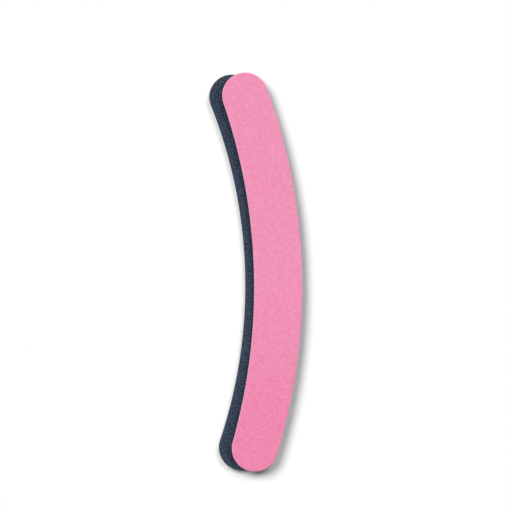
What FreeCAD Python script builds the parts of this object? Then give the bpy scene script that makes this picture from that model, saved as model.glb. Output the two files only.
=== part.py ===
# Two curved emery boards: a pink finishing board lying on a black shaping board.
# Each board is a die-cut laminate: a stiff plastic core between two foam cushions, with an abrasive
# sheet of grit-coated paper on each face. Double-sided tape bonds the layers.
# Frame: millimetres, +Z up. The origin is on the black board's underside, at mid length and midway
# between its long edges. +Y runs along the boards and +X points to their convex edge.
import FreeCAD, Part
import math
import os
import Sketcher

# Driving dimensions: alias, millimetres, meaning
DIMENSIONS = [
    ("board_width", 21.5, "across the middle of a board, edge to edge"),
    ("pink_length", 178.0, "pink board, tip to tip"),
    ("pink_edge_radius", 254.0, "both long edges of the pink board"),
    ("black_length", 177.0, "black board, tip to tip"),
    ("black_edge_radius", 219.0, "both long edges of the black board"),
    ("pink_step", 4.0, "how far the pink board lies towards +X of the black one"),
    ("core_thickness", 1.0, "plastic core strip"),
    ("tape_thickness", 0.1, "double-sided tape"),
    ("foam_thickness", 1.0, "foam cushion"),
    ("foam_land", 0.08, "straight part of the foam's side beside each face"),
    ("foam_draw_in", 0.14, "how deep the foam's side is drawn in between the lands"),
    ("paper_thickness", 0.2, "backing paper of the abrasive sheet"),
    ("pink_grit_thickness", 0.08, "fine grit coat"),
    ("black_grit_thickness", 0.14, "coarse grit coat"),
]

# What differs from board to board, the lower board first
BOARDS = {
    "black": {
        "length": "dims.black_length",
        "edge_radius": "dims.black_edge_radius",
        "grit": "dims.black_grit_thickness",
        "step": None,
    },
    "pink": {
        "length": "dims.pink_length",
        "edge_radius": "dims.pink_edge_radius",
        "grit": "dims.pink_grit_thickness",
        "step": "dims.pink_step",
    },
}

# What the boards have in common: the thickness of each material, and the layers of one board from
# its underside up, with the material of each
THICKNESS = {
    "core": "dims.core_thickness",
    "tape": "dims.tape_thickness",
    "foam": "dims.foam_thickness",
    "paper": "dims.paper_thickness",
}
LAYERS = [
    ("bottom_grit", "grit"),
    ("bottom_paper", "paper"),
    ("bottom_paper_tape", "tape"),
    ("bottom_foam", "foam"),
    ("bottom_core_tape", "tape"),
    ("core", "core"),
    ("top_core_tape", "tape"),
    ("top_foam", "foam"),
    ("top_paper_tape", "tape"),
    ("top_paper", "paper"),
    ("top_grit", "grit"),
]

UP = FreeCAD.Vector(0, 0, 1)
X_AXIS = -1  # a sketch's own X axis, which starts at the sketch's origin
START, END, CENTRE = 1, 2, 3  # the points of a line or an arc


def point(x, y):
    return FreeCAD.Vector(x, y, 0)


def make_sheet(doc):
    """The table of driving dimensions."""
    sheet = doc.addObject("Spreadsheet::Sheet", "dims")
    for row, (alias, value, meaning) in enumerate(DIMENSIONS, start=1):
        sheet.set(f"A{row}", alias)
        sheet.set(f"B{row}", str(value))
        sheet.setAlias(f"B{row}", alias)
        sheet.set(f"C{row}", meaning)
    doc.recompute()


def new_sketch(body, name, plane_role):
    """An empty sketch on one of the body's own origin planes."""
    sketch = body.newObject("Sketcher::SketchObject", name)
    plane = next(f for f in body.Origin.OriginFeatures if f.Role == plane_role)
    sketch.AttachmentSupport = [(plane, "")]
    sketch.MapMode = "FlatFace"
    return sketch


def constrain(sketch, *constraints):
    sketch.addConstraint([Sketcher.Constraint(*constraint) for constraint in constraints])


def dimension(sketch, name, expression, kind, *points):
    """A named dimension of a sketch, tied to an expression on the table."""
    value = sketch.evalExpression(expression)
    index = sketch.addConstraint(Sketcher.Constraint(kind, *points, value))
    sketch.renameConstraint(index, name)
    sketch.setExpression(f"Constraints.{name}", expression)


def end_cap(edge_radius, width, length):
    """Centre and radius of the round end that meets both long edges tangentially."""
    slenderness = (2 * edge_radius / width) ** 2
    reach = slenderness * (4 * edge_radius**2 - length**2 - width**2)
    radius = (length + math.sqrt(length**2 + reach)) / (2 * slenderness)
    return 2 * edge_radius * radius / width - edge_radius, length / 2 - radius, radius


def draw_outline(sketch, board):
    """A board's outline: two long arcs of one radius, a board's width apart so that boards nest
    side by side on the sheet they are cut from, and two round ends tangent to both."""
    width = sketch.evalExpression("dims.board_width")
    length = sketch.evalExpression(board["length"])
    radius = sketch.evalExpression(board["edge_radius"])
    cap_x, cap_y, cap_radius = end_cap(radius, width, length)
    inner_sweep = math.asin(cap_y / (radius + cap_radius))
    outer_sweep = math.asin(cap_y / (radius - cap_radius))

    inner_circle = Part.Circle(point(-width / 2 - radius, 0), UP, radius)
    outer_circle = Part.Circle(point(width / 2 - radius, 0), UP, radius)
    upper_circle = Part.Circle(point(cap_x, cap_y), UP, cap_radius)
    lower_circle = Part.Circle(point(cap_x, -cap_y), UP, cap_radius)
    arcs = [
        Part.ArcOfCircle(inner_circle, -inner_sweep, inner_sweep),
        Part.ArcOfCircle(upper_circle, outer_sweep, math.pi + inner_sweep),
        Part.ArcOfCircle(outer_circle, -outer_sweep, outer_sweep),
        Part.ArcOfCircle(lower_circle, math.pi - inner_sweep, 2 * math.pi - outer_sweep),
    ]
    inner, upper, outer, lower = (sketch.addGeometry(arc) for arc in arcs)
    tip = sketch.addGeometry(Part.Point(point(cap_x, length / 2)), True)

    constrain(
        sketch,
        ("Tangent", inner, END, upper, END),
        ("Tangent", upper, START, outer, END),
        ("Tangent", outer, START, lower, END),
        ("Tangent", lower, START, inner, START),
        ("PointOnObject", inner, CENTRE, X_AXIS),
        ("PointOnObject", outer, CENTRE, X_AXIS),
        ("Equal", inner, outer),
        ("Equal", upper, lower),
        ("PointOnObject", tip, START, upper),
        ("Vertical", tip, START, upper, CENTRE),
    )
    setback = f"{board['edge_radius']} + dims.board_width / 2"
    half_length = f"{board['length']} / 2"
    dimension(sketch, "edge_radius", board["edge_radius"], "Radius", inner)
    dimension(sketch, "nesting_pitch", "dims.board_width", "DistanceX", inner, CENTRE, outer, CENTRE)
    dimension(sketch, "setback", setback, "DistanceX", inner, CENTRE, X_AXIS, START)
    dimension(sketch, "half_length", half_length, "DistanceY", X_AXIS, START, tip, START)


def draw_waist(sketch):
    """The section that is taken out of a foam's side: a shallow arc between the two lands, closed
    outside the foam."""
    half_width = "dims.board_width / 2"
    chord = "(dims.foam_thickness - 2 * dims.foam_land)"
    bulge = f"({chord}^2 / 4 + dims.foam_draw_in^2) / (2 * dims.foam_draw_in)"
    face = sketch.evalExpression(half_width)
    outside = face + sketch.evalExpression("dims.foam_thickness")
    low = sketch.evalExpression("dims.foam_land")
    high = low + sketch.evalExpression(chord)
    depth = sketch.evalExpression("dims.foam_draw_in")

    # An arc runs anticlockwise, so this one starts at its upper end
    middle = point(face - depth, (low + high) / 2)
    hollow = sketch.addGeometry(Part.Arc(point(face, high), middle, point(face, low)))
    corners = [point(face, high), point(outside, high), point(outside, low), point(face, low)]
    lines = [Part.LineSegment(a, b) for a, b in zip(corners, corners[1:])]
    roof, wall, floor = (sketch.addGeometry(line) for line in lines)

    constrain(
        sketch,
        ("Coincident", hollow, START, roof, START),
        ("Coincident", roof, END, wall, START),
        ("Coincident", wall, END, floor, START),
        ("Coincident", floor, END, hollow, END),
        ("Horizontal", roof),
        ("Vertical", wall),
        ("Horizontal", floor),
        ("Vertical", hollow, START, hollow, END),
    )
    dimension(sketch, "side_face", half_width, "DistanceX", X_AXIS, START, hollow, END)
    dimension(sketch, "land", "dims.foam_land", "DistanceY", X_AXIS, START, hollow, END)
    dimension(sketch, "waist_chord", chord, "DistanceY", hollow, END, hollow, START)
    dimension(sketch, "waist_radius", bulge, "Radius", hollow)
    dimension(sketch, "overrun", "dims.foam_thickness", "DistanceX", roof, START, roof, END)


def draw_in_sides(doc, body, outline, pad):
    """Hollows the foam's cut side all round, as foam springs back from the cutting die."""
    section = new_sketch(body, f"{body.Name}_waist", "XZ_Plane")
    draw_waist(section)
    doc.recompute()
    side = body.newObject("PartDesign::SubtractivePipe", f"{body.Name}_side")
    side.Profile = section
    side.Spine = (outline, [])
    doc.recompute()
    if not side.Shape.Volume < pad.Shape.Volume:
        raise RuntimeError(f"{body.Label}: its side wasn't drawn in")


def add_layer(doc, name, board, material, seat):
    """One piece of the laminate, on the seat that the pieces below it make. Gives the piece and the
    seat that it makes for the next one."""
    thickness = board["grit"] if material == "grit" else THICKNESS[material]
    body = doc.addObject("PartDesign::Body", name)
    outline = new_sketch(body, f"{name}_outline", "XY_Plane")
    draw_outline(outline, board)
    pad = body.newObject("PartDesign::Pad", f"{name}_pad")
    pad.Profile = outline
    pad.setExpression("Length", thickness)
    doc.recompute()
    if material == "foam":
        draw_in_sides(doc, body, outline, pad)
    if seat:
        body.setExpression("Placement.Base.z", seat)
    if board["step"]:
        body.setExpression("Placement.Base.x", board["step"])
    return body, f"{name}.Placement.Base.z + {thickness} * 1 mm"


def build(doc):
    """Both boards, layer by layer from the underside of the lower board up."""
    make_sheet(doc)
    bodies = []
    seat = None
    for board_name, board in BOARDS.items():
        for layer, material in LAYERS:
            body, seat = add_layer(doc, f"{board_name}_{layer}", board, material, seat)
            bodies.append(body)
    doc.recompute()
    return bodies


def check(doc, bodies):
    """Stops before anything is written if a feature failed or a piece isn't one sound solid."""
    for feature in doc.Objects:
        if {"Invalid", "Error"} & set(feature.State):
            raise RuntimeError(f"{feature.Name} failed: {feature.State}")
        if feature.isDerivedFrom("Sketcher::SketchObject") and not feature.FullyConstrained:
            raise RuntimeError(f"{feature.Name} isn't fully constrained")
    for body in bodies:
        shape = body.Shape
        if shape.isNull() or not shape.isValid() or len(shape.Solids) != 1:
            raise RuntimeError(f"{body.Label} isn't one sound solid")


def export(bodies):
    os.makedirs("parts", exist_ok=True)
    for body in bodies:
        body.Shape.exportStep(f"parts/{body.Label}.step")
        box = body.Shape.BoundBox
        print(f"{body.Label}: z {box.ZMin:.2f} to {box.ZMax:.2f}, {body.Shape.Volume:.1f} mm3")


document = FreeCAD.newDocument("emery_boards")
pieces = build(document)
check(document, pieces)
export(pieces)
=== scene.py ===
import math
import bpy
import numpy as np
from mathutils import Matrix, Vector


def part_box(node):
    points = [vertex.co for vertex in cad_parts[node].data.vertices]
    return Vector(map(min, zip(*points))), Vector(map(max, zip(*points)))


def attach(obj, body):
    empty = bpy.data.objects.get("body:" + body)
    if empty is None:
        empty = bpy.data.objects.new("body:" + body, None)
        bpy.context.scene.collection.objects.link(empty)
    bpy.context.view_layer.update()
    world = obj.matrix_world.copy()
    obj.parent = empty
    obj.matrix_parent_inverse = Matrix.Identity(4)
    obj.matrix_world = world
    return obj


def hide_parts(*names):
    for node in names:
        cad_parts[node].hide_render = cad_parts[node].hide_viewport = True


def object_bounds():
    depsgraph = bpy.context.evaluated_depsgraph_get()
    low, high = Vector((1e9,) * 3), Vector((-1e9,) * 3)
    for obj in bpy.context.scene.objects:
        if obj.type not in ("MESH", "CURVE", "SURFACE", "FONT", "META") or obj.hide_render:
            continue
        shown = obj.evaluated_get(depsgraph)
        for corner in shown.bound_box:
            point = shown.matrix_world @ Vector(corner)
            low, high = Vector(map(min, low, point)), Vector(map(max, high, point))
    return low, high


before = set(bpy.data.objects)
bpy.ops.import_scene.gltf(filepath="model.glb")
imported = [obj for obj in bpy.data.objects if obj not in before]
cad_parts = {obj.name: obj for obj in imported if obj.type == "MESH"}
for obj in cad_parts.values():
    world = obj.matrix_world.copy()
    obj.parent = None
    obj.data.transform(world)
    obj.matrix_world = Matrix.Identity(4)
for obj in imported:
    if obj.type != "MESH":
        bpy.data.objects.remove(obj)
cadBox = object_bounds()
mm = 0.001  # sizes below are in millimetres, and meshes are made in metres


# The boards' outline, read from their cores

clearOfEnds = 0.7  # share of the half length in which a core has only points of its long edges


def fitEdge(points):
    # circle with its centre on the X axis: x*x + y*y = 2*centre*x + rest
    table = np.c_[2 * points[:, 0], np.ones(len(points))]
    centre, rest = np.linalg.lstsq(table, (points**2).sum(axis=1), rcond=None)[0]
    return centre, math.sqrt(rest + centre * centre)


def readOutline(board):
    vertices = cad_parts[f"{board}_core"].data.vertices
    points = np.array([v.co[:2] for v in vertices], float) / mm
    halfLength = points[:, 1].max()
    edges = points[np.abs(points[:, 1]) < clearOfEnds * halfLength]
    bow = np.polyfit(edges[:, 1] ** 2, edges[:, 0], 1)
    isOuter = edges[:, 0] > np.polyval(bow, edges[:, 1] ** 2)
    innerX = fitEdge(edges[~isOuter])[0]
    outerX, radius = fitEdge(edges[isOuter])
    width = outerX - innerX
    # round end: tangent to both long edges, and it reaches the tip
    share = (2 * radius / width) ** 2
    rest = halfLength**2 + width**2 / 4 - radius**2
    capRadius = (halfLength + math.sqrt(halfLength**2 - share * rest)) / share
    capY = halfLength - capRadius
    return {
        "innerX": innerX,
        "outerX": outerX,
        "radius": radius,
        "capX": (innerX + outerX) / 2 + 2 * radius * capRadius / width,
        "capY": capY,
        "capRadius": capRadius,
        "innerSweep": math.asin(capY / (radius + capRadius)),
        "outerSweep": math.asin(capY / (radius - capRadius)),
    }


def arcPoints(x, y, radius, angles):
    return np.stack([x + radius * np.cos(angles), y + radius * np.sin(angles)], axis=-1)


def boardGrid(board, step, inset):
    # even quads over the whole face, drawn in from the cut edge by the inset
    shape = outlines[board]
    rows = round(shape["radius"] * (shape["innerSweep"] + shape["outerSweep"]) / step)
    columns = 2 * round(shape["capRadius"] / step)
    along = np.linspace(-1, 1, rows + 1)
    across = np.linspace(-1, 1, columns + 1)
    left = arcPoints(shape["innerX"], 0, shape["radius"] + inset, along * shape["innerSweep"])
    right = arcPoints(shape["outerX"], 0, shape["radius"] - inset, along * shape["outerSweep"])
    share = (across[None, :, None] + 1) / 2
    middle = left[:, None] * (1 - share) + right[:, None] * share

    # each end is half of a square grid that is rounded into half a disc
    up = np.linspace(0, 1, columns // 2 + 1)[:, None]
    u = across * np.sqrt(1 - up**2 / 2)
    v = up * np.sqrt(1 - across**2 / 2)
    span = math.pi + shape["innerSweep"] - shape["outerSweep"]
    angles = shape["outerSweep"] + np.arctan2(v, u) / math.pi * span
    reach = (shape["capRadius"] - inset) * np.hypot(u, v)
    end = arcPoints(shape["capX"], shape["capY"], reach, angles)
    end += (1 - up[..., None]) * (middle[-1] - end[0])
    mirrored = end[:0:-1] * (1, -1)
    return np.concatenate([mirrored, middle, end[1:]])


def borderOf(grid):
    # numbers of the grid's border points, anticlockwise from the lower right corner
    number = np.arange(grid.shape[0] * grid.shape[1]).reshape(grid.shape[:2])
    return np.concatenate([number[:, -1], number[-1, -2:0:-1], number[::-1, 0], number[0, 1:-1]])


def cutEdge(board, step):
    # points along the cut, and the way out of the board at each
    grid = boardGrid(board, step, 0)
    border = borderOf(grid)
    points = grid.reshape(-1, 2)[border]
    return points, points - boardGrid(board, step, 1).reshape(-1, 2)[border]


def fromCut(board, points):
    # how far points of a face are in from the cut
    shape = outlines[board]
    x, y = points[:, 0], np.abs(points[:, 1])
    fromInner = np.hypot(x - shape["innerX"], y) - shape["radius"]
    fromOuter = shape["radius"] - np.hypot(x - shape["outerX"], y)
    fromEnd = shape["capRadius"] - np.hypot(x - shape["capX"], y - shape["capY"])
    sweep = (shape["innerSweep"] + shape["outerSweep"]) / 2
    inEnd = (y - shape["capY"]) * math.cos(sweep) > (x - shape["capX"]) * math.sin(sweep)
    return np.where(inEnd, fromEnd, np.minimum(fromInner, fromOuter))


lattice = {"values": 4099, "strides": (7919, 104729, 1299709)}  # primes, so that lumps don't repeat


def lumps(points, size, seed):
    # smooth random lumps of about that size, from -1 to 1
    values = np.random.RandomState(seed).uniform(-1, 1, lattice["values"])
    cell = np.floor(points / size).astype(np.int64)
    part = points / size - cell
    part = part * part * (3 - 2 * part)
    axes = points.shape[-1]
    total = 0
    for corner in np.ndindex((2,) * axes):
        weight = np.prod(np.where(corner, part, 1 - part), axis=-1)
        key = ((cell + corner) * lattice["strides"][:axes]).sum(axis=-1)
        total = total + weight * values[key % lattice["values"]]
    return total


outlines = {board: readOutline(board) for board in ("black", "pink")}
for board, outline in outlines.items():
    print(board, "edge radius", round(outline["radius"], 2), "end radius", round(outline["capRadius"], 2))


# Shader wiring

class Wire:
    def __init__(self, finish, socket):
        self.finish = finish
        self.socket = socket

    def math(self, operation, first, second):
        return self.finish.node("ShaderNodeMath", {"operation": operation}, {0: first, 1: second})

    def most(self, other):
        return self.math("MAXIMUM", self, other)

    def beside(self, output):
        # another output of the same node
        return Wire(self.finish, self.socket.node.outputs[output])

    def __add__(self, other):
        return self.math("ADD", self, other)

    def __sub__(self, other):
        return self.math("SUBTRACT", self, other)

    def __rsub__(self, other):
        return self.math("SUBTRACT", other, self)

    def __mul__(self, other):
        return self.math("MULTIPLY", self, other)

    __radd__ = __add__
    __rmul__ = __mul__


class Finish:
    def __init__(self, owner, shader):
        owner.use_nodes = True
        self.owner = owner
        self.tree = owner.node_tree
        self.shader = self.tree.nodes[shader]

    def node(self, kind, settings=None, inputs=None, output=0):
        made = self.tree.nodes.new(kind)
        for key, value in (settings or {}).items():
            setattr(made, key, value)
        for key, value in (inputs or {}).items():
            self.feed(made.inputs[key], value)
        return Wire(self, made.outputs[output])

    def feed(self, socket, value):
        if isinstance(value, Wire):
            self.tree.links.new(value.socket, socket)
        else:
            socket.default_value = value

    def wear(self, sockets):
        for key, value in sockets.items():
            self.feed(self.shader.inputs[key], value)

    def vector(self, operation, first, second, output="Vector"):
        return self.node("ShaderNodeVectorMath", {"operation": operation}, {0: first, 1: second}, output)

    def place(self, stretch=(1, 1, 1)):
        # where a point is on its board, in millimetres
        spot = self.node("ShaderNodeTexCoord", output="Object")
        return self.vector("MULTIPLY", spot, [s / mm for s in stretch])

    def noise(self, where, size, detail=2.0):
        return self.node("ShaderNodeTexNoise", {}, {"Vector": where, "Scale": 1 / size, "Detail": detail})

    def cells(self, where, size, feature="F1"):
        # how far a point is from the middle of its cell, or from the cell's edge
        inputs = {"Vector": where, "Scale": 1 / size}
        return self.node("ShaderNodeTexVoronoi", {"feature": feature}, inputs, "Distance")

    def channel(self, colour, key):
        return self.node("ShaderNodeSeparateColor", {}, {"Color": colour}, key)

    def rise(self, value, start, end):
        # 0 before start, 1 after end
        inputs = {"Value": value, "From Min": start, "From Max": end}
        return self.node("ShaderNodeMapRange", {"interpolation_type": "SMOOTHSTEP"}, inputs)

    def blend(self, share, first, second):
        # a Mix node's colours are its inputs 6 and 7 and its output 2
        return self.node("ShaderNodeMix", {"data_type": "RGBA"}, {0: share, 6: first, 7: second}, 2)

    def onMesh(self, key):
        return self.node("ShaderNodeAttribute", {"attribute_name": key}, output="Fac")

    def relief(self, height, strength, depth):
        inputs = {"Strength": strength, "Distance": depth * mm, "Height": height}
        self.wear({"Normal": self.node("ShaderNodeBump", {}, inputs)})


def newFinish(name, constants):
    made = Finish(bpy.data.materials.new(name), "Principled BSDF")
    made.wear(constants)
    return made


def paint(red, green, blue):
    # a colour as a screen shows it, 0 to 255
    shares = [c / 255 for c in (red, green, blue)]
    return [c / 12.92 if c < 0.04045 else ((c + 0.055) / 1.055) ** 2.4 for c in shares] + [1]


# Pieces of the laminate: each is lofted through rings, from its underside out to the cut and over its top

dieRoll = {"reach": 0.9, "upper": 0.13, "lower": 0.05}  # the cut turns both faces over a little
sharpFrom = 55  # degrees between two faces


def levels(node):
    low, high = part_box(node)
    return low.z / mm, high.z / mm


def turnOver(board, z, inset):
    # the stiff core stays flat, and the foam gives way to the die
    lowFoam = levels(f"{board}_bottom_foam")
    highFoam = levels(f"{board}_top_foam")
    upper = np.clip((z - highFoam[0]) / (highFoam[1] - highFoam[0]), 0, 1)
    lower = np.clip((lowFoam[1] - z) / (lowFoam[1] - lowFoam[0]), 0, 1)
    fall = np.clip(1 - inset / dieRoll["reach"], 0, 1) ** 2
    return z + fall * (dieRoll["lower"] * lower - dieRoll["upper"] * upper)


def overFaces(cut, rings, low, high):
    # section of a piece: out along its underside, round the cut, and back over its top
    return [(inset, low) for inset in rings] + cut + [(inset, high) for inset in rings[::-1]]


def loft(board, step, section, waver=None, openTop=False):
    # section: inset and height of each ring. waver: an extra inset for the points of a ring
    edge, outward = cutEdge(board, step)
    rings, insets = [], []
    for ring, (inset, z) in enumerate(section):
        inset = inset + np.zeros(len(edge))
        z = z + np.zeros(len(edge))
        if waver:
            inset = inset + waver(np.c_[edge, z], ring)
        rings.append(np.c_[edge - inset[:, None] * outward, z])
        insets.append(inset)
    here = np.arange(len(edge))
    after = np.roll(here, -1)
    faces = []
    for ring in range(len(rings) - 1):
        low, high = ring * len(edge), (ring + 1) * len(edge)
        faces += np.c_[low + here, low + after, high + after, high + here].tolist()
    faces.append(here[::-1].tolist())
    if not openTop:
        faces.append((here + (len(rings) - 1) * len(edge)).tolist())
    return np.concatenate(rings), faces, np.concatenate(insets)


def closeFine(board, points, faces, inset, grid):
    # a face of even quads, whose border is the last ring
    border = borderOf(grid)
    number = np.full(grid.shape[0] * grid.shape[1], -1)
    number[border] = len(points) - len(border) + np.arange(len(border))
    fresh = np.flatnonzero(number < 0)
    number[fresh] = len(points) + np.arange(len(fresh))
    number = number.reshape(grid.shape[:2])
    corners = (number[:-1, :-1], number[:-1, 1:], number[1:, 1:], number[1:, :-1])
    faces += np.stack(corners, axis=-1).reshape(-1, 4).tolist()
    inner = grid.reshape(-1, 2)[fresh]
    points = np.concatenate([points, np.c_[inner, np.full(len(inner), points[-1, 2])]])
    return points, np.concatenate([inset, fromCut(board, inner)])


def makePiece(board, layer, finish, points, faces, values=None):
    node = f"{board}_{layer}"
    first, *others = node.split("_")
    name = first + "".join(word.title() for word in others)
    mesh = bpy.data.meshes.new(name)
    mesh.from_pydata((points * mm).tolist(), [], faces)
    mesh.validate()
    mesh.shade_smooth()
    mesh.set_sharp_from_angle(angle=math.radians(sharpFrom))
    for key, value in (values or {}).items():
        mesh.attributes.new(key, "FLOAT", "POINT").data.foreach_set("value", value.astype(np.float32))
    mesh.materials.append(finish.owner)
    piece = bpy.data.objects.new(name, mesh)
    bpy.context.scene.collection.objects.link(piece)
    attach(piece, f"{board}_board")
    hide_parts(node)
    return piece


# Grit coats: grains in resin, worn pale and chipped along the cut; the black coat's paler, bluer border
# and darker middle are painted shade

gritCoat = {
    "step": 0.3, "underside": (0.9, 0.5),  # rings in from the cut
    # the coat's shoulder: share of the way in to the flat face, and share of the height
    "shoulder": ((0, 0), (0.01, 0.5), (0.04, 0.85), (0.1, 1), (0.22, 1), (0.42, 1), (0.68, 1), (1, 1)),
    "chipSize": 1.3, "chipFrom": 0.45, "ragged": 0.6, "raggedSize": 0.4,
    "lumpShare": 0.6, "broadLumps": 3,  # the other lumps are that much broader
    # the gaps between grains are darker: partly the deeper resin, partly painted shade
    "faceFrom": 0.8, "peak": 0.3, "halfGrain": 0.45, "gapResinAndShade": 0.4, "clumpDetail": 3.0,
    "glintFrom": 0.93, "glintTo": 0.97, "glintShare": 0.5, "wornSize": 0.35, "wornUneven": 0.4,
    "rough": 0.9, "roughGrain": 0.2, "roughGlint": 0.3,
    "pink": {
        "relief": 0.03, "lump": 0.6, "recess": 0.05, "chip": 0.12, "seed": 11,
        "deep": paint(234, 118, 164), "pale": paint(255, 172, 205), "glint": paint(255, 207, 227),
        "warm": paint(245, 125, 170), "cool": paint(249, 152, 189), "bare": paint(250, 208, 225),
        "grain": 0.12, "grainDepth": 0.5, "facets": 0.6, "clump": 1.2, "clumpDepth": 1.4,
        "tone": 0.5, "tint": 0.5, "worn": 0.5, "wornReach": 0.35, "gloss": 0.2,
        "warmFrom": -88, "coolFrom": 10,  # it deepens towards its lower end
    },
    "black": {
        "relief": 0.05, "lump": 0.5, "recess": 0.06, "chip": 0.16, "seed": 23,
        "deep": paint(20, 24, 38), "pale": paint(74, 88, 109), "glint": paint(126, 140, 158),
        "warm": paint(56, 53, 75), "cool": paint(46, 69, 86), "bare": paint(86, 93, 106),
        "grain": 0.2, "grainDepth": 0.8, "facets": 0.8, "clump": 0.8, "clumpDepth": 3.2,
        "tone": 0.325, "tint": 0.35, "worn": 0.6, "wornReach": 0.3, "gloss": 0.1,
        # painted shade: with its low tone, the black coat darkens inwards from a paler, bluer border at
        # the cut, standing in for the shade beside the pink board
        "paintedShadeFrom": 0.3, "paintedShadeTo": 4.2, "paintedShadeLift": 0.365,  # it is paler towards the cut
        "patch": 2.0, "patchFrom": 0.35, "patchTo": 0.65, "patchShare": 0.5,
    },
}


def gritFinish(board):
    coat, look = gritCoat, gritCoat[board]
    made = newFinish(f"{board}Grit", {"Specular IOR Level": look["gloss"]})
    where = made.place()

    # crushed grains: each has its own tone, and a facet that leans its own way
    fromMiddle = made.cells(where, look["grain"])
    own = fromMiddle.beside("Color")
    grain = made.channel(own, "Red")
    bright = made.rise(made.channel(own, "Green"), coat["glintFrom"], coat["glintTo"])
    offset = made.vector("SUBTRACT", where, fromMiddle.beside("Position"))
    lean = made.vector("SUBTRACT", own, (0.5, 0.5, 0.5))
    facet = made.vector("DOT_PRODUCT", offset, lean, "Value")
    made.relief(facet - fromMiddle * look["grain"] * coat["peak"], look["facets"], 1.0)

    clump = (made.noise(where, look["clump"], coat["clumpDetail"]) - 0.5) * look["clumpDepth"]
    tone = look["tone"] + clump + (grain - 0.5) * look["grainDepth"]
    # darker towards the grains' edges: partly the deeper resin between them, partly painted shade in the
    # gaps
    tone = tone - (fromMiddle - coat["halfGrain"]) * coat["gapResinAndShade"]
    if board == "pink":
        along = made.node("ShaderNodeSeparateXYZ", {}, {"Vector": where}, "Y")
        hue = made.rise(along, look["warmFrom"], look["coolFrom"])
    else:
        # painted shade: paler and bluer towards the cut, darker inwards, standing in for the shade beside
        # the pink board
        paintedShadeBorder = 1 - made.rise(made.onMesh("rim"), look["paintedShadeFrom"], look["paintedShadeTo"])
        tone = tone + paintedShadeBorder * look["paintedShadeLift"]
        patch = made.rise(made.noise(where, look["patch"]), look["patchFrom"], look["patchTo"])
        hue = (patch + paintedShadeBorder) * look["patchShare"]
    colour = made.blend(made.rise(tone, 0.0, 1.0), look["deep"], look["pale"])
    colour = made.blend(look["tint"], colour, made.blend(hue, look["warm"], look["cool"]))
    colour = made.blend(bright * coat["glintShare"], colour, look["glint"])
    rim = made.onMesh("rim") + (made.noise(where, coat["wornSize"]) - 0.5) * coat["wornUneven"]
    worn = 1 - made.rise(rim, 0.0, look["wornReach"])
    colour = made.blend(worn * look["worn"], colour, look["bare"])
    rough = coat["rough"] - grain * coat["roughGrain"] - bright * coat["roughGlint"]
    made.wear({"Base Color": colour, "Roughness": rough})
    return made


def gritPiece(board, side, finish):
    coat, look = gritCoat, gritCoat[board]
    layer = f"{side}_grit"
    low, high = levels(f"{board}_{layer}")
    thick = high - low
    seed = look["seed"] + (side == "top")
    edge = cutEdge(board, coat["step"])[0]
    chips = np.clip(lumps(edge, coat["chipSize"], seed) - coat["chipFrom"], 0, 1)
    recess = look["recess"] * (1 + coat["ragged"] * lumps(edge, coat["raggedSize"], seed + 2))
    recess = recess + look["chip"] * chips / (1 - coat["chipFrom"])
    reach = dieRoll["reach"]
    section = [(inset, 0) for inset in coat["underside"]]
    section += [(recess + share * (reach - recess), height * thick) for share, height in coat["shoulder"]]
    points, faces, inset = loft(board, coat["step"], section, openTop=True)
    points, inset = closeFine(board, points, faces, inset, boardGrid(board, coat["step"], reach))

    # grains stand up to the coat's own height and never above it
    spot = points[:, :2]
    bumps = coat["lumpShare"] * lumps(spot, look["lump"], seed + 4)
    bumps = bumps + (1 - coat["lumpShare"]) * lumps(spot, coat["broadLumps"] * look["lump"], seed + 6)
    onFace = points[:, 2] > coat["faceFrom"] * thick
    points[:, 2] -= onFace * look["relief"] * (1 - bumps) / 2
    if side == "top":
        points[:, 2] += low
    else:
        points[:, 2] = high - points[:, 2]
        faces = [face[::-1] for face in faces]
    points[:, 2] = turnOver(board, points[:, 2], inset)
    makePiece(board, layer, finish, points, faces, {"rim": inset})


# Backing papers: thin stiff sheets with a fibrous cut edge

backingPaper = {
    "step": 0.4, "rings": (1.0, 0.7, 0.45, 0.25, 0.1), "rows": (0.3, 0.7), "bevel": 0.01,
    "fray": 0.02, "fraySize": 0.35,
    "fibre": 0.12, "fibreFlat": 4, "fibreDetail": 4.0, "fibreShare": 0.7, "patch": 1.5,
    "shadeFrom": 0.35, "shadeTo": 0.65, "bump": 0.4, "bumpDepth": 0.02,
    "rough": 0.78, "roughFibre": 0.2, "gloss": 0.2,
    "pink": {"colour": paint(242, 228, 234), "shade": paint(216, 192, 204), "seed": 31},
    "black": {"colour": paint(92, 95, 104), "shade": paint(58, 60, 68), "seed": 41},
}


def paperFinish(board):
    paper, look = backingPaper, backingPaper[board]
    made = newFinish(f"{board}Paper", {"Specular IOR Level": paper["gloss"]})
    fibres = made.noise(made.place((1, 1, paper["fibreFlat"])), paper["fibre"], paper["fibreDetail"])
    patches = made.noise(made.place(), paper["patch"])
    mottle = fibres * paper["fibreShare"] + patches * (1 - paper["fibreShare"])
    share = made.rise(mottle, paper["shadeFrom"], paper["shadeTo"])
    colour = made.blend(share, look["shade"], look["colour"])
    made.relief(fibres, paper["bump"], paper["bumpDepth"])
    made.wear({"Base Color": colour, "Roughness": paper["rough"] + fibres * paper["roughFibre"]})
    return made


def paperPiece(board, side, finish):
    paper = backingPaper
    layer = f"{side}_paper"
    low, high = levels(f"{board}_{layer}")
    rings = paper["rings"]
    rows = [(0, low + share * (high - low)) for share in paper["rows"]]
    cut = [(paper["bevel"], low), *rows, (paper["bevel"], high)]

    def fray(points, ring):
        onCut = len(rings) <= ring < len(rings) + len(cut)
        return onCut * paper["fray"] * (1 + lumps(points, paper["fraySize"], paper[board]["seed"]))

    points, faces, inset = loft(board, paper["step"], overFaces(cut, rings, low, high), fray)
    points[:, 2] = turnOver(board, points[:, 2], inset)
    makePiece(board, layer, finish, points, faces)


# Tapes: a clear film of glue, drawn back a little from the cut

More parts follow.
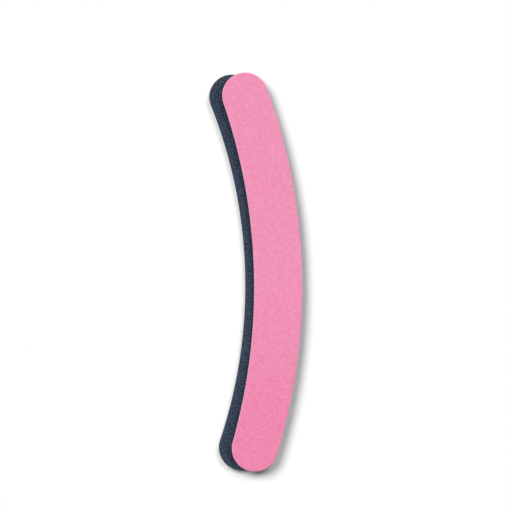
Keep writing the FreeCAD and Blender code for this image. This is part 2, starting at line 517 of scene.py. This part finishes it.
tape = {
    "step": 0.5, "rings": (1.0, 0.6, 0.25), "hollow": 0.01,
    "drawnBack": 0.05, "uneven": 0.9, "unevenSize": 0.9, "seed": 53,
    "colour": paint(226, 219, 202), "shade": paint(196, 185, 160),
    "smear": 0.6, "smearFlat": 3, "smearDetail": 3.0, "shadeFrom": 0.3, "shadeTo": 0.7,
    "rough": 0.25, "roughSmear": 0.3, "gloss": 0.5,
}


def tapeFinish():
    made = newFinish("tape", {"Specular IOR Level": tape["gloss"]})
    smear = made.noise(made.place((1, 1, tape["smearFlat"])), tape["smear"], tape["smearDetail"])
    share = made.rise(smear, tape["shadeFrom"], tape["shadeTo"])
    colour = made.blend(share, tape["shade"], tape["colour"])
    made.wear({"Base Color": colour, "Roughness": tape["rough"] + smear * tape["roughSmear"]})
    return made


def tapePiece(board, layer, finish):
    low, high = levels(f"{board}_{layer}")
    rings = tape["rings"]
    cut = [(0, low), (tape["hollow"], (low + high) / 2), (0, high)]

    def drawBack(points, ring):
        onCut = len(rings) <= ring < len(rings) + len(cut)
        waves = lumps(points * (1, 1, 0), tape["unevenSize"], tape["seed"])
        return onCut * tape["drawnBack"] * (1 + tape["uneven"] * waves)

    points, faces, inset = loft(board, tape["step"], overFaces(cut, rings, low, high), drawBack)
    points[:, 2] = turnOver(board, points[:, 2], inset)
    makePiece(board, layer, finish, points, faces)


# Foam cushions: sides drawn in by the die, with cut cells, whose darker insides are painted shade

foam = {
    "step": 0.3, "rings": (1.0, 0.6, 0.3), "rows": 9, "drawnIn": 0.14, "pore": 0.05, "poreSize": 0.34,
    "cell": 0.22, "cellFull": 0.35, "fineCell": 0.11, "fineFull": 0.3, "fineShare": 0.4, "wall": 0.02,
    # pits darken the cut cells towards the pit colour: painted shade in the hollows
    "cellShadeShare": 0.65, "pitDepth": 0.07, "bump": 0.7,
    "cloud": 2.0, "cloudFrom": 0.35, "cloudTo": 0.75, "cloudShare": 0.2,
    "rough": 0.8, "roughCloud": 0.15, "gloss": 0.3,
    "pink": {"colour": paint(250, 243, 244), "pit": paint(206, 190, 195), "seed": 61},
    "black": {"colour": paint(66, 67, 74), "pit": paint(22, 22, 27), "seed": 71},
}


def foamFinish(board):
    look = foam[board]
    made = newFinish(f"{board}Foam", {"Specular IOR Level": foam["gloss"]})
    where = made.place()
    # cut-open cells of two sizes, with thin walls between them; the pit colour in the cells is painted
    # shade
    fromWall = made.cells(where, foam["cell"], "DISTANCE_TO_EDGE")
    fromFineWall = made.cells(where, foam["fineCell"], "DISTANCE_TO_EDGE")
    pits = made.rise(fromWall, foam["wall"], foam["cellFull"])
    fine = made.rise(fromFineWall, foam["wall"], foam["fineFull"])
    hollow = pits * (1 - foam["fineShare"] + fine * foam["fineShare"])
    cloud = made.noise(where, foam["cloud"])
    shade = made.rise(cloud, foam["cloudFrom"], foam["cloudTo"]) * foam["cloudShare"]
    # painted shade: the cells darken towards the pit colour
    colour = made.blend(hollow * foam["cellShadeShare"] + shade, look["colour"], look["pit"])
    made.relief(1 - hollow, foam["bump"], foam["pitDepth"])
    made.wear({"Base Color": colour, "Roughness": foam["rough"] + cloud * foam["roughCloud"]})
    return made


def foamPiece(board, side, finish):
    layer = f"{side}_foam"
    low, high = levels(f"{board}_{layer}")
    rings = foam["rings"]
    shares = np.linspace(0, 1, foam["rows"])
    cut = [(foam["drawnIn"] * (1 - (2 * s - 1) ** 2), low + s * (high - low)) for s in shares]

    def pores(points, ring):
        onCut = len(rings) < ring < len(rings) + len(cut) - 1
        return onCut * foam["pore"] * (1 + lumps(points, foam["poreSize"], foam[board]["seed"]))

    points, faces, inset = loft(board, foam["step"], overFaces(cut, rings, low, high), pores)
    points[:, 2] = turnOver(board, points[:, 2], np.clip(inset - foam["drawnIn"], 0, None))
    piece = makePiece(board, layer, finish, points, faces)


# Core strips: sheared plastic, smooth where the die entered and torn where it broke through

core = {
    "step": 0.3, "rings": (0.6,), "bevel": 0.04, "smoothRows": (0.55, 0.96),
    "tornRows": (0.04, 0.14, 0.24, 0.34), "torn": 0.45, "tornFade": 0.2,
    "tear": 0.03, "tearSize": 0.4, "tearTall": 0.5, "seed": 83,
    "colour": paint(240, 240, 238), "shade": paint(216, 217, 216),
    "drag": 0.1, "dragTall": 0.12, "dragDetail": 3.0, "dragShare": 0.6, "cloud": 3.0,
    "shadeFrom": 0.3, "shadeTo": 0.7, "bump": 0.5, "bumpDepth": 0.03,
    "rough": 0.32, "roughTorn": 0.35, "roughDrag": 0.1, "gloss": 0.5,
}


def coreFinish():
    made = newFinish("core", {"Specular IOR Level": core["gloss"]})
    drag = made.noise(made.place((1, 1, core["dragTall"])), core["drag"], core["dragDetail"])
    cloud = made.noise(made.place(), core["cloud"])
    made.relief(drag, core["bump"], core["bumpDepth"])
    mottle = drag * core["dragShare"] + cloud * (1 - core["dragShare"])
    share = made.rise(mottle, core["shadeFrom"], core["shadeTo"])
    colour = made.blend(share, core["shade"], core["colour"])
    rough = core["rough"] + made.onMesh("torn") * core["roughTorn"] + drag * core["roughDrag"]
    made.wear({"Base Color": colour, "Roughness": rough})
    return made


def corePiece(board, finish):
    low, high = levels(f"{board}_core")
    thick = high - low
    shares = (0, *core["tornRows"], core["torn"], *core["smoothRows"], 1)
    cut = [(core["bevel"] * (share in (0, 1)), low + share * thick) for share in shares]

    def tear(points, ring):
        share = (points[:, 2] - low) / thick
        onTear = (share > 0) & (share < core["torn"])
        rags = lumps(points * (1, 1, core["tearTall"]), core["tearSize"], core["seed"])
        return onTear * core["tear"] * (1 + rags)

    points, faces, _ = loft(board, core["step"], overFaces(cut, core["rings"], low, high), tear)
    torn = np.clip((core["torn"] - (points[:, 2] - low) / thick) / core["tornFade"], 0, 1)
    makePiece(board, "core", finish, points, faces, {"torn": torn})


tapeLook = tapeFinish()
coreLook = coreFinish()
for board in outlines:
    gritLook, paperLook, foamLook = gritFinish(board), paperFinish(board), foamFinish(board)
    corePiece(board, coreLook)
    for side in ("bottom", "top"):
        tapePiece(board, f"{side}_core_tape", tapeLook)
        foamPiece(board, side, foamLook)
        tapePiece(board, f"{side}_paper_tape", tapeLook)
        paperPiece(board, side, paperLook)
        gritPiece(board, side, gritLook)
    print(board, "board made")


# Floor, light and camera

stage = {
    "size": 6.0, "drop": 0.02,  # metres across, and millimetres below the boards
    "seen": paint(255, 255, 255), "bounced": paint(185, 185, 185), "rough": 0.9, "gloss": 0.0,
}
ambient = 0.13  # shares of the light on a level surface, which add up to 1
lamps = {
    "key": {"share": 0.6, "azimuth": 133, "elevation": 59, "spread": 28},
    "fill": {"share": 0.27, "azimuth": 55, "elevation": 60, "spread": 22},
}
camera = {"aim": (-5.65, 7.07), "across": 228.2, "distance": 1200, "roll": -1.563, "sensor": 36}


def makeFloor():
    half = stage["size"] / 2
    corners = [(-half, -half), (half, -half), (half, half), (-half, half)]
    mesh = bpy.data.meshes.new("floor")
    mesh.from_pydata([(x, y, -stage["drop"] * mm) for x, y in corners], [], [(0, 1, 2, 3)])
    floor = bpy.data.objects.new("floor", mesh)
    bpy.context.scene.collection.objects.link(floor)
    made = newFinish("floor", {"Roughness": stage["rough"], "Specular IOR Level": stage["gloss"]})
    seen = made.node("ShaderNodeLightPath", output="Is Camera Ray")
    made.wear({"Base Color": made.blend(seen, stage["bounced"], stage["seen"])})
    mesh.materials.append(made.owner)


def makeLight():
    world = bpy.data.worlds.new("studio")
    bpy.context.scene.world = world
    made = Finish(world, "Background")
    kinds = ("Is Camera Ray", "Is Glossy Ray", "Is Transmission Ray")
    direct, glossy, through = (made.node("ShaderNodeLightPath", output=kind) for kind in kinds)
    seen = direct.most(glossy.most(through))
    made.wear({"Color": (1, 1, 1, 1), "Strength": ambient + (1 - ambient) * seen})

    for name, look in lamps.items():
        turn, lift = math.radians(look["azimuth"]), math.radians(look["elevation"])
        lamp = bpy.data.lights.new(name, "SUN")
        lamp.energy = look["share"] * math.pi / math.sin(lift)
        lamp.angle = math.radians(look["spread"])
        holder = bpy.data.objects.new(name, lamp)
        bpy.context.scene.collection.objects.link(holder)
        away = Vector((math.cos(turn) * math.cos(lift), math.sin(turn) * math.cos(lift), math.sin(lift)))
        holder.location = away
        holder.rotation_euler = away.to_track_quat("Z", "Y").to_euler()


def makeCamera():
    lens = bpy.data.cameras.new("camera")
    lens.sensor_width = camera["sensor"]
    lens.lens = camera["sensor"] * camera["distance"] / camera["across"]
    eye = bpy.data.objects.new("camera", lens)
    bpy.context.scene.collection.objects.link(eye)
    x, y = camera["aim"]
    eye.location = (x * mm, y * mm, cadBox[1].z + camera["distance"] * mm)
    eye.rotation_euler = (0, 0, math.radians(camera["roll"]))
    bpy.context.scene.camera = eye


makeFloor()
makeLight()
makeCamera()
bpy.context.scene.view_settings.view_transform = "Standard"
print("floor, light and camera set")
